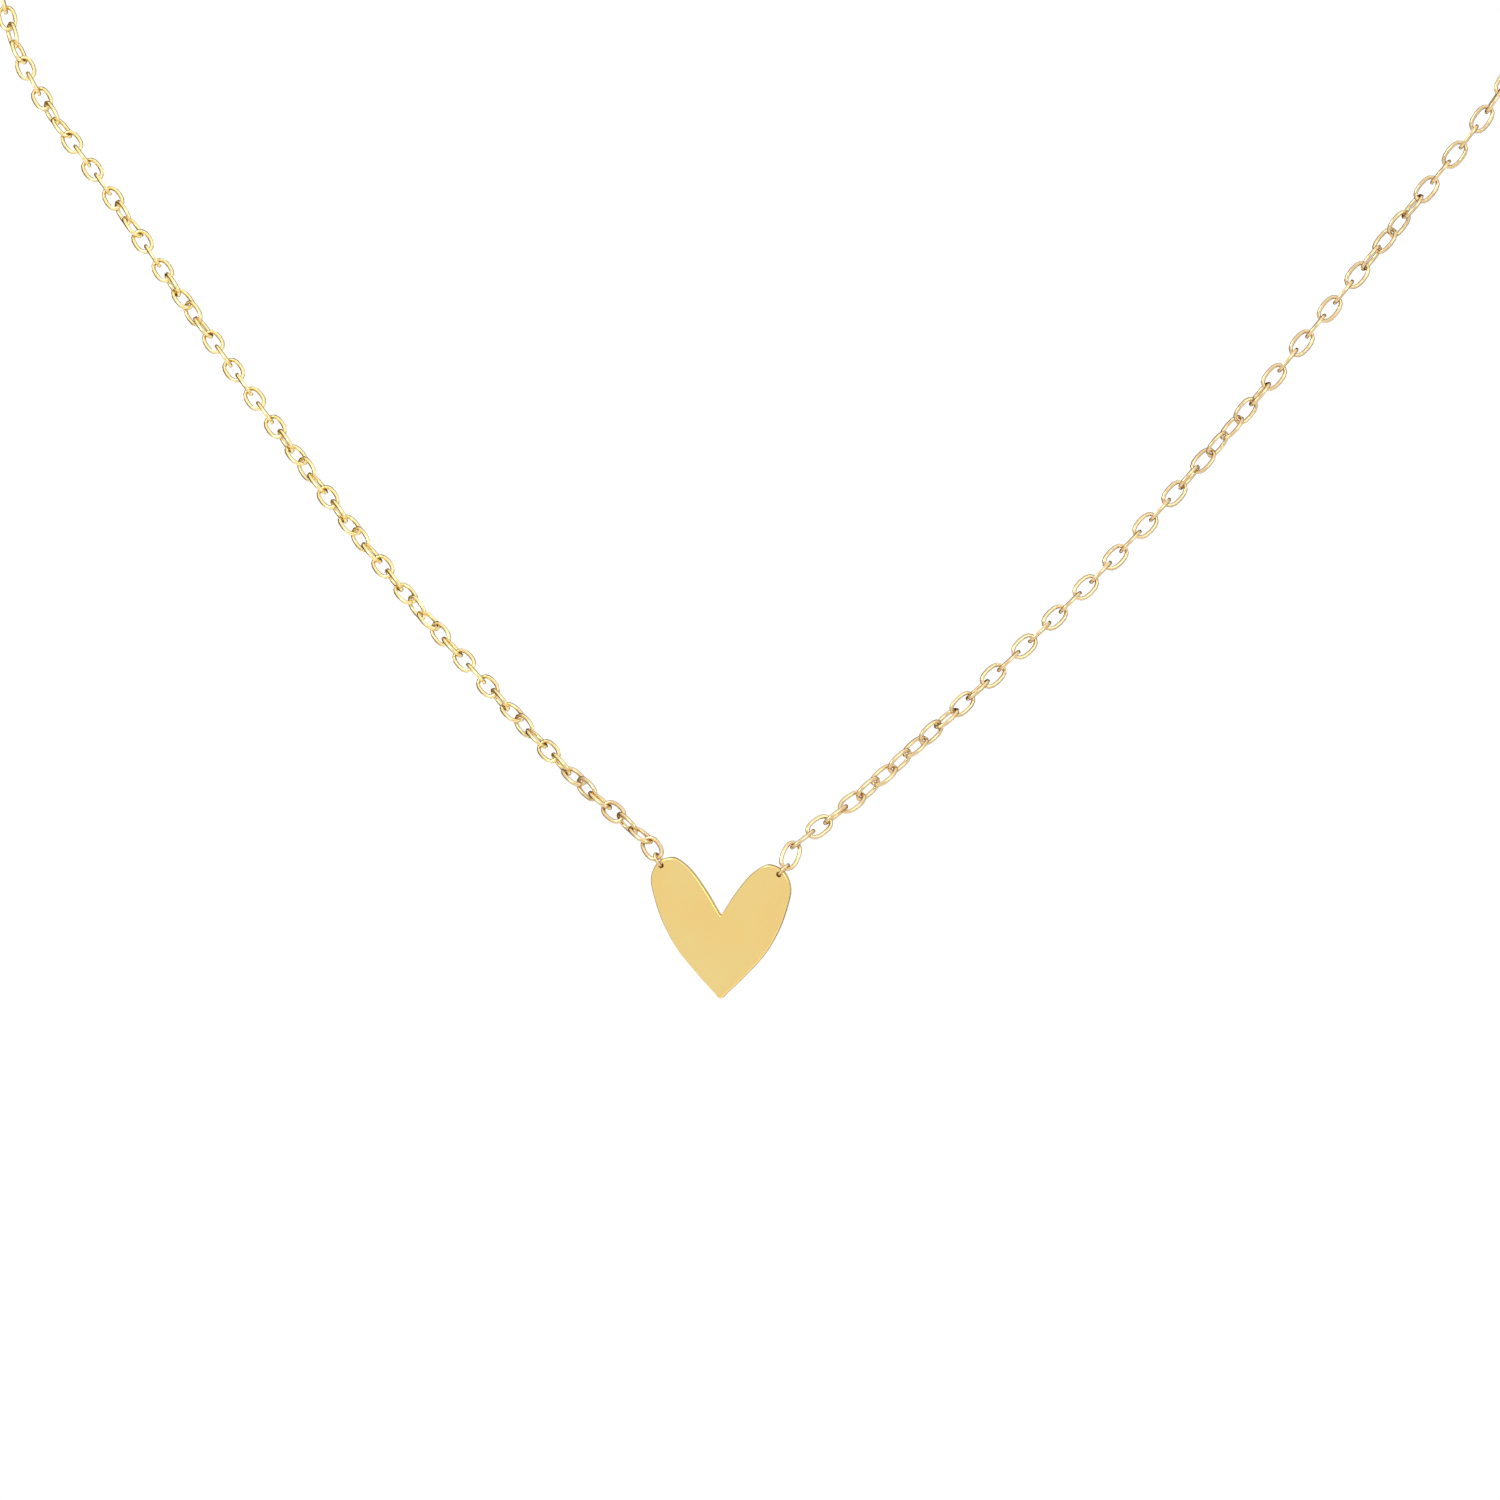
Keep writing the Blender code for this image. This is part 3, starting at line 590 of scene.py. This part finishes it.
def link_frames(word, part):
    """Where each link of a stretch lies: its middle, its length and its flat."""
    stretch = FRONT[word] if part == "front" else BACK[word]
    last = stretch.links - 1
    if part == "front":
        stations = to_last(TURN_AT_LINK[word], last, turn_of(stretch, last, X_AXIS))
    else:
        first_flat = stretch.along(0).cross(X_AXIS)
        stations = to_last([(0, turn_of(stretch, 0, first_flat))], last,
                           turn_of(stretch, last, Y_AXIS))
    places = []
    for number in range(stretch.links):
        along = stretch.along(number)
        normal = turned_flat(stretch, number, even_turns(stations, number))
        if part == "back" and number == last - 1:
            normal = square_to(along, Z_AXIS)
        middle = (stretch.joint(number) + stretch.joint(number + 1)) / 2
        columns = Matrix((along, normal.cross(along), normal)).transposed()
        places.append(Matrix.Translation(middle) @ columns.to_4x4())
    return stretch, places


STRANDS = {(word, part): link_frames(word, part) for word in SIDES for part in ("front", "back")}
print("links in all:", sum(len(places) for _, places in STRANDS.values()))

# %% [markdown]
# The links beside the heart are the ones that are looked at closely, so each is a piece
# of its own with a finer mesh. So are the links at the shoulders and at the clasp,
# on which the chain moves.

# %% The links that are pieces of their own
LINKS_AT_HEART = 8
LINKS_AT_CLASP = 2


def lone_link(name, node, stretch, place):
    """A finely made link in its place."""
    shape = oval_link(stretch.pitch, *FINE_LINK)
    bmesh.ops.transform(shape, matrix=place, verts=shape.verts)
    place_piece(name, shape, node)


for word in SIDES:
    stretch, places = STRANDS[word, "front"]
    for number in range(LINKS_AT_HEART):
        lone_link(f"{word}_oval_link_{number + 1:02d}", f"{word}_link_{number + 1:02d}",
                  stretch, places[number])
    lone_link(word + "_shoulder_oval_front", word + "_shoulder_link_front", stretch, places[-1])
    stretch, places = STRANDS[word, "back"]
    lone_link(word + "_shoulder_oval_back", word + "_shoulder_link_back", stretch, places[0])
    for number in range(1, LINKS_AT_CLASP + 1):
        lone_link(f"{word}_nape_oval_{number:02d}", f"{word}_back_link_{number:02d}",
                  stretch, places[-number])
print("lone links:", 2 * (LINKS_AT_HEART + 2 + LINKS_AT_CLASP))

# %% [markdown]
# The rest of the chain is hundreds of links alike. One light link is shaped once and
# copied along the route, and each run of the skeleton becomes one piece, which keeps the
# file small. The links still pass through one another as real ones do.

# %% The runs of links
RUNS = {("left", "front"): 5, ("right", "front"): 4, ("left", "back"): 4, ("right", "back"): 4}


def chain_run(name, node, stretch, places):
    """Copies of one light link, each in its place, as one piece."""
    pattern = bpy.data.meshes.new("link_pattern")
    light_link = oval_link(stretch.pitch, *LIGHT_LINK)
    light_link.to_mesh(pattern)
    light_link.free()
    shape = bmesh.new()
    for place in places:
        before = len(shape.verts)
        shape.from_mesh(pattern)
        shape.verts.ensure_lookup_table()
        bmesh.ops.transform(shape, matrix=place, verts=shape.verts[before:])
    bpy.data.meshes.remove(pattern)
    place_piece(name, shape, node)


for (word, part), count in RUNS.items():
    stretch, places = STRANDS[word, part]
    if part == "front":
        inner = places[LINKS_AT_HEART:-1]
    else:
        inner = places[1:-LINKS_AT_CLASP]
    cuts = [round(len(inner) * number / count) for number in range(count + 1)]
    for number, (low, high) in enumerate(zip(cuts, cuts[1:]), 1):
        chain_run(f"{word}_{part}_links_{number:02d}", f"{word}_{part}_run_{number:02d}",
                  stretch, inner[low:high])
    print(word, part, "runs of", [high - low for low, high in zip(cuts, cuts[1:])])

# %% [markdown]
# The heart is stamped from flat sheet and tumbled, which leaves its face flat and its
# rims softly rounded. Its outline is one half, drawn as a smooth curve from the notch
# over the lobe to the tip, and mirrored. The outline is filled and extruded, and the
# notch's corner is bevelled round. Each face is then inset along a quarter circle in a
# few steps, because a bevel of all the rims at once would be held back by the notch.

# %% The heart's plate
HALF_OUTLINE = ((0, 0.601), (0.210, 0.774), (0.419, 0.913), (0.604, 0.987), (0.733, 1.0),
                (0.910, 0.956), (0.998, 0.848), (0.966, 0.727), (0.834, 0.530), (0.619, 0.337),
                (0.314, 0.157), (0.085, 0.038), (0.034, 0.007))
RIM_ROUND = 0.14 * MM
RIM_STEPS = 4
NOTCH_ROUND = 0.16 * MM
OUTLINE_STEPS = 8
FACE_INSET = 0.03 * MM
heart_tip = Vector((heart_middle.x, heart_middle.y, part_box("heart")[0].z))


def round_rim(shape, face):
    """Step a flat face inwards and outwards along a quarter circle, which rounds its rim."""
    for step in range(RIM_STEPS):
        low, high = (math.pi / 2 * (step + more) / RIM_STEPS for more in (0, 1))
        bmesh.ops.inset_region(shape, faces=[face], use_even_offset=True,
                               thickness=RIM_ROUND * (math.cos(low) - math.cos(high)),
                               depth=RIM_ROUND * (math.sin(high) - math.sin(low)))
    bmesh.ops.inset_region(shape, faces=[face], thickness=FACE_INSET, use_even_offset=True)


def heart_plate():
    """The plate with a rounded notch and rounded rims, before its holes."""
    knots = [Vector((x * heart_size.x / 2, 0, z * heart_size.z)) for x, z in HALF_OUTLINE]
    right = smooth_curve(knots, OUTLINE_STEPS)
    left = [Vector((-point.x, 0, point.z)) for point in reversed(right[1:])]
    rim_points = right + [Vector((0, 0, 0))] + left
    wall = heart_size.y - 2 * RIM_ROUND
    shape = bmesh.new()
    rim = [shape.verts.new(heart_tip + point - Y_AXIS * wall / 2) for point in rim_points]
    front = shape.faces.new(rim)
    made = bmesh.ops.extrude_face_region(shape, geom=[front])["geom"]
    back = [item for item in made if isinstance(item, bmesh.types.BMVert)]
    bmesh.ops.translate(shape, vec=(0, wall, 0), verts=back)
    bmesh.ops.recalc_face_normals(shape, faces=shape.faces)
    across = [edge for edge in shape.edges
              if abs(edge.verts[0].co.y - edge.verts[1].co.y) > wall / 2
              and abs(edge.verts[0].co.x - heart_tip.x) < 0.01 * MM]
    notch = max(across, key=lambda edge: edge.verts[0].co.z)
    bmesh.ops.bevel(shape, geom=[notch], offset=NOTCH_ROUND, segments=4, profile=0.5,
                    affect="EDGES", material=-1)
    for face in sorted(shape.faces, key=lambda face: len(face.verts))[-2:]:
        round_rim(shape, face)
    return shape


plate = heart_plate()
print("the plate has", len(plate.faces), "faces")

# %% [markdown]
# Each lobe has a small drilled hole for its ring. A drill is a cylinder, so a cylinder
# is cut out of the plate, and the cut is made permanent so that the mesh is final.

# %% Drill the lobes
HOLE_RADIUS = 0.205 * MM
HOLE_FROM_SIDE = 0.80 * MM
HOLE_FROM_TOP = 0.58 * MM
DRILL_SIDES = 32
HOLE_DRILL_LENGTH = 2 * MM


def cut_with(shape, cutters):
    """Cut closed shapes out of a shape, and give back what is left."""
    keep = bpy.data.objects.new("blank", bpy.data.meshes.new("blank"))
    shape.to_mesh(keep.data)
    shape.free()
    bpy.context.scene.collection.objects.link(keep)
    helpers = [keep]
    for number, cutter in enumerate(cutters):
        tool = bpy.data.objects.new(f"cutter_{number}", bpy.data.meshes.new("cutter"))
        cutter.to_mesh(tool.data)
        cutter.free()
        bpy.context.scene.collection.objects.link(tool)
        helpers.append(tool)
        modifier = keep.modifiers.new("cut", "BOOLEAN")
        modifier.operation = "DIFFERENCE"
        modifier.solver = "EXACT"
        modifier.object = tool
    bpy.context.view_layer.update()
    graph = bpy.context.evaluated_depsgraph_get()
    left = bmesh.new()
    left.from_mesh(keep.evaluated_get(graph).to_mesh())
    for helper in helpers:
        bpy.data.objects.remove(helper)
    return left


def drill(place, radius, depth):
    """A cylinder along Y to cut with."""
    shape = bmesh.new()
    bmesh.ops.create_cone(shape, cap_ends=True, segments=DRILL_SIDES, radius1=radius,
                          radius2=radius, depth=depth)
    turn = Matrix.Translation(place) @ Matrix.Rotation(math.pi / 2, 4, "X")
    bmesh.ops.transform(shape, matrix=turn, verts=shape.verts)
    return shape


holes = []
for side in SIDES.values():
    across = side * (heart_size.x / 2 - HOLE_FROM_SIDE)
    holes.append(heart_tip + Vector((across, 0, heart_size.z - HOLE_FROM_TOP)))
plate = cut_with(plate, [drill(place, HOLE_RADIUS, HOLE_DRILL_LENGTH) for place in holes])
heart = place_piece("gold_heart", plate, "heart", flat_angle=30)
print("heart drilled,", len(heart.data.polygons), "faces")

# %% [markdown]
# A jump ring is one turn of wire, sawn off a coil, so its ends meet at a hairline gap.
# The section is spun a little short of a full turn and both ends are capped. The gap
# is turned away from where the ring bears.

# %% Jump rings
RING_GAP = 4
RING_STEPS, RING_SIDES = 48, 12
HEART_RING_GAP_AT = 125


def jump_ring(name, node, outer, wire, along, normal, gap_at):
    """A ring of wire with a hairline gap, in its node's place."""
    shape = bmesh.new()
    spin_wire(shape, (outer - wire) / 2, wire, RING_STEPS, RING_SIDES,
              math.radians(360 - RING_GAP))
    bmesh.ops.holes_fill(shape, edges=shape.edges, sides=RING_SIDES)
    bmesh.ops.recalc_face_normals(shape, faces=shape.faces)
    gap = Matrix.Rotation(math.radians(gap_at + RING_GAP / 2), 4, "Z")
    columns = Matrix((along, normal.cross(along), normal)).transposed()
    place = Matrix.Translation(node_middle(node)) @ columns.to_4x4() @ gap
    bmesh.ops.transform(shape, matrix=place, verts=shape.verts)
    place_piece(name, shape, node, flat_angle=50)


for word in SIDES:
    lean = ring_lean(word)
    jump_ring(word + "_jump_ring", word + "_heart_ring", HEART_RING_OUTER, HEART_RING_WIRE,
              lean, lean.cross(Y_AXIS), HEART_RING_GAP_AT)
jump_ring("clasp_jump_ring", "clasp_ring", node_size("clasp_ring").x, CLASP_RING_WIRE,
          X_AXIS, Z_AXIS, 90)
jump_ring("clasp_catch_ring", "end_ring", node_size("end_ring").x, END_RING_WIRE,
          X_AXIS, Z_AXIS, -90)
print("four jump rings")

# %% [markdown]
# ## The clasp
# A lobster clasp is cast in one piece: an eye, a trunk with a slot, and a hook. Its
# outline is drawn with arcs about the eye and about the hook, then extruded and
# bevelled. The eye, the slot and the rivet's hole are cut out afterwards.

# %% Arcs for the clasp's outlines
EYE_RADIUS, EYE_HOLE = 1.10 * MM, 0.56 * MM
TRUNK_HALF = 1.25 * MM
HOOK_ALONG, HOOK_OUTER, HOOK_INNER = 6.0 * MM, 2.15 * MM, 1.35 * MM
HOOK_TIP = 62
CLASP_THICK = 1.40 * MM
SLOT_WIDTH, SLOT_START, SLOT_FLOOR = 0.70 * MM, 1.75 * MM, -0.55 * MM
PIVOT = Vector((2.85 * MM, 0, 0.45 * MM))
PIN_RADIUS = 0.24 * MM
PIN_ROOM = 0.03 * MM
BODY_ROUND, LEVER_ROUND, RIVET_ROUND = 0.30 * MM, 0.08 * MM, 0.06 * MM
THROUGH = 4 * MM
clasp_eye = Vector((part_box("clasp_body")[0].x + EYE_RADIUS, 0, 0))


def arc(along, across, radius, start, end, steps):
    """Points along an arc in the clasp's plane."""
    points = []
    for step in range(steps + 1):
        turn = math.radians(start + (end - start) * step / steps)
        points.append(Vector((along + radius * math.cos(turn), 0,
                              across + radius * math.sin(turn))))
    return points


def flat_part(outline, thickness, rounding):
    """An outline in the clasp's plane, extruded and with rounded rims."""
    shape = bmesh.new()
    rim = [shape.verts.new(clasp_eye + point - Y_AXIS * thickness / 2) for point in outline]
    made = bmesh.ops.extrude_face_region(shape, geom=[shape.faces.new(rim)])["geom"]
    back = [item for item in made if isinstance(item, bmesh.types.BMVert)]
    bmesh.ops.translate(shape, vec=(0, thickness, 0), verts=back)
    rims = [edge for edge in shape.edges
            if abs(edge.verts[0].co.y - edge.verts[1].co.y) < thickness / 4]
    bmesh.ops.bevel(shape, geom=rims, offset=rounding, segments=4, profile=0.5,
                    affect="EDGES", material=-1, clamp_overlap=True)
    bmesh.ops.recalc_face_normals(shape, faces=shape.faces)
    flats = [face for face in shape.faces if len(face.verts) > 8]
    bmesh.ops.inset_region(shape, faces=flats, thickness=FACE_INSET, use_even_offset=True)
    return shape


print("the clasp's eye is at", [round(1000 * side, 2) for side in clasp_eye], "mm")

# %% [markdown]
# The corners where the trunk meets the eye and the hook are rounded with short curves, because a
# cast piece has no sharp inner corners.

# %% The clasp's body
def clasp_body_outline():
    """Eye, trunk and hook in one outline, with the mouth open on the upper side."""
    outline = arc(0, 0, EYE_RADIUS, 57, 303, 24)
    lower = [Vector((0.95 * MM, 0, -1.04 * MM)), Vector((1.43 * MM, 0, -TRUNK_HALF)),
             Vector((2.40 * MM, 0, -1.29 * MM)), Vector((3.31 * MM, 0, -1.27 * MM)),
             Vector((3.95 * MM, 0, -1.36 * MM))]
    outline += smooth_curve(lower, 4)
    outline += arc(HOOK_ALONG, 0, HOOK_OUTER, -135, HOOK_TIP - 6, 32)
    outline += arc(HOOK_ALONG, 0, (HOOK_OUTER + HOOK_INNER) / 2, HOOK_TIP, HOOK_TIP, 1)[:1]
    outline += arc(HOOK_ALONG, 0, HOOK_INNER, HOOK_TIP - 6, -170, 28)
    upper = [Vector((4.62 * MM, 0, 0.375 * MM)), Vector((4.30 * MM, 0, 1.05 * MM)),
             Vector((4.00 * MM, 0, TRUNK_HALF)), Vector((2.60 * MM, 0, 1.29 * MM)),
             Vector((1.43 * MM, 0, TRUNK_HALF)), Vector((0.95 * MM, 0, 1.04 * MM))]
    return outline + smooth_curve(upper, 4)


def slot_cutter():
    """The slot that the lever and its spring lie in, open at the top."""
    shape = bmesh.new()
    bmesh.ops.create_cube(shape, size=1)
    low = Vector((SLOT_START, -SLOT_WIDTH / 2, SLOT_FLOOR))
    high = Vector((HOOK_ALONG, SLOT_WIDTH / 2, 2 * TRUNK_HALF))
    bmesh.ops.scale(shape, vec=high - low, verts=shape.verts)
    bmesh.ops.translate(shape, vec=clasp_eye + (low + high) / 2, verts=shape.verts)
    return shape


body_shape = flat_part(clasp_body_outline(), CLASP_THICK, BODY_ROUND)
body_shape = cut_with(body_shape, [drill(clasp_eye, EYE_HOLE, THROUGH), slot_cutter(),
                                   drill(clasp_eye + PIVOT, PIN_RADIUS + PIN_ROOM, THROUGH)])
clasp_hook = place_piece("clasp_cast_hook", body_shape, "clasp_body", flat_angle=35)
print("clasp body has", len(clasp_hook.data.polygons), "faces")

# %% [markdown]
# The lever turns on the rivet, closes the mouth with its curved arm, and has a thumb
# tab outside. The rivet's ends are slightly domed from the hammer, and a bent leaf of
# spring steel under the arm pushes it shut.

# %% The lever, the rivet and the spring
LEVER_WIDTH = 0.60 * MM
LEVER_THICK = 0.55 * MM
BOSS_RADIUS = 0.60 * MM
LEAF_THICK = 0.10 * MM
LEVEL_EDGE = 0.1 * MM


def lever_outline():
    """Boss, arm and thumb tab."""
    middle = (HOOK_OUTER + HOOK_INNER) / 2
    outline = arc(PIVOT.x, PIVOT.z, BOSS_RADIUS, 150, 330, 14)
    outline.append(PIVOT + Vector((1.00 * MM, 0, 0.15 * MM)))
    outline += arc(HOOK_ALONG, 0, middle - LEVER_THICK / 2, 146, HOOK_TIP + 7, 14)
    outline += arc(HOOK_ALONG, 0, middle + LEVER_THICK / 2, HOOK_TIP + 13, 132, 14)
    tab = [PIVOT + Vector((x * MM, 0, z * MM))
           for x, z in ((1.05, 1.75), (0.65, 2.05), (0.25, 1.85), (0.20, 1.20))]
    return outline + smooth_curve(tab, 4)


lever_shape = flat_part(lever_outline(), LEVER_WIDTH, LEVER_ROUND)
lever_bore = drill(clasp_eye + PIVOT, PIN_RADIUS + PIN_ROOM, THROUGH)
lever_shape = cut_with(lever_shape, [lever_bore])
place_piece("clasp_thumb_lever", lever_shape, "clasp_lever", flat_angle=35)

rivet = drill(clasp_eye + PIVOT, PIN_RADIUS, CLASP_THICK - 0.04 * MM)
end_rims = [edge for edge in rivet.edges
            if abs(edge.verts[0].co.y - edge.verts[1].co.y) < LEVEL_EDGE]
bmesh.ops.bevel(rivet, geom=end_rims, offset=RIVET_ROUND, segments=3, profile=0.5,
                affect="EDGES", material=-1, clamp_overlap=True)
place_piece("clasp_rivet", rivet, "clasp_pin", flat_angle=50)

leaf_low, leaf_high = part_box("clasp_spring")
leaf_knots = [Vector((leaf_high.x, 0, leaf_low.z + LEAF_THICK / 2)),
              Vector((leaf_low.x + 0.20 * MM, 0, leaf_low.z + LEAF_THICK / 2)),
              Vector((leaf_low.x + 0.05 * MM, 0, leaf_low.z + 0.16 * MM)),
              Vector((leaf_low.x + 0.30 * MM, 0, leaf_low.z + 0.34 * MM)),
              Vector((leaf_high.x - 0.05 * MM, 0, leaf_high.z - LEAF_THICK / 2))]
leaf = bmesh.new()
line = [leaf.verts.new(point + Y_AXIS * leaf_low.y) for point in smooth_curve(leaf_knots, 6)]
strip = [leaf.edges.new(pair) for pair in zip(line, line[1:])]
made = bmesh.ops.extrude_edge_only(leaf, edges=strip)["geom"]
far_edge = [item for item in made if isinstance(item, bmesh.types.BMVert)]
bmesh.ops.translate(leaf, vec=(0, leaf_high.y - leaf_low.y, 0), verts=far_edge)
bmesh.ops.recalc_face_normals(leaf, faces=leaf.faces)
bmesh.ops.solidify(leaf, geom=leaf.faces, thickness=LEAF_THICK * 0.8)
place_piece("clasp_leaf_spring", leaf, "clasp_spring", flat_angle=40)
print("lever, rivet and spring are in")

# %% [markdown]
# Last, the finished necklace is measured.

# %% Measure and finish
low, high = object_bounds()
print("finished in mm:", [round(1000 * side, 1) for side in high - low])
